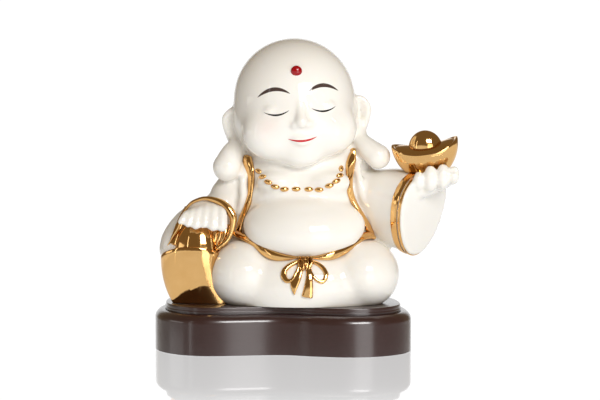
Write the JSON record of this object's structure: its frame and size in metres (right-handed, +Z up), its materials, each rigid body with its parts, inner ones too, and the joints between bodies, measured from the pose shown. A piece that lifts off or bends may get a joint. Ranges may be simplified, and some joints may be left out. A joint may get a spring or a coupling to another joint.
{
  "type": "budai figure",
  "caption": "Seated budai with a calm face, in glossy white porcelain with gilded trim, holding up a boat-shaped ingot, on a dark wooden plinth.",
  "frame": {"origin": "middle of the plinth's underside", "axes": "+Z up, the figure faces -Y, +X to the viewer's right"},
  "size_m": [0.2586, 0.129, 0.2661],
  "materials": {
    "porcelain": null,
    "dark_wood": "dark greyish brown satin lacquer"
  },
  "bodies": {
    "root": {"figure": "porcelain", "plinth": "dark_wood"}
  },
  "joints": []
}
